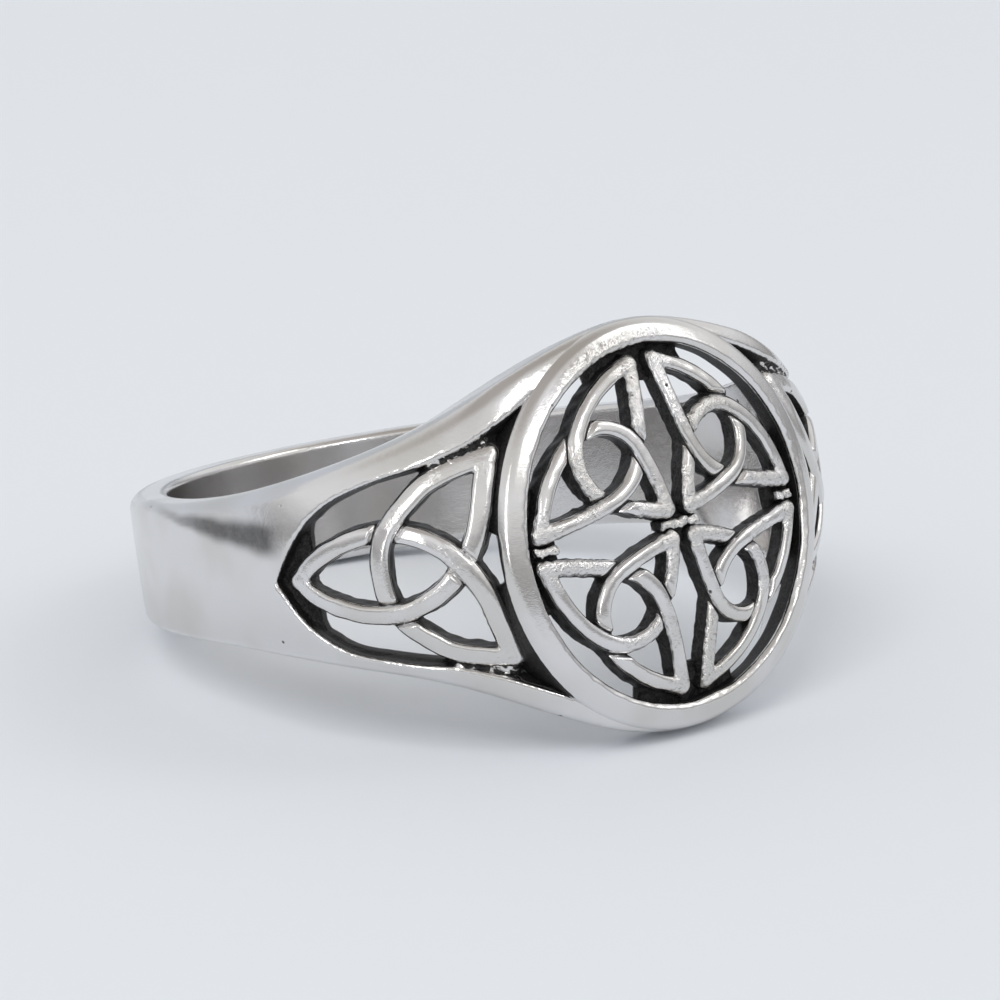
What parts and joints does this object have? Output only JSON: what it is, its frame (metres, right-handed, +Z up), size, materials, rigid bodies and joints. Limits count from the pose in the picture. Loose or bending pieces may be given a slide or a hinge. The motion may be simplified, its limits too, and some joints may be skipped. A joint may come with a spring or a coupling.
{
  "type": "interlaced knot ring",
  "caption": "Cast silver finger ring with a round domed face of pierced interlaced knots, a three-cornered knot in each shoulder's window and a plain tapering band.",
  "frame": {"origin": "centre of the bounding box's base, which is the table the ring lies on", "axes": "+Z up; the knot face looks to -Y and the plain back of the band to +Y; X runs across the face from the left shoulder to the right one, seen from the front. The finger axis lies in the YZ plane and leans about 13 degrees from +Z towards +Y, as the ring lies on its face's lower edge and the back of its band."},
  "size_m": [0.0214, 0.0224, 0.0124],
  "materials": {
    "silver": "polished silver, darkened by oxide in the recesses"
  },
  "bodies": {
    "root": {"ring": "silver"}
  },
  "joints": []
}
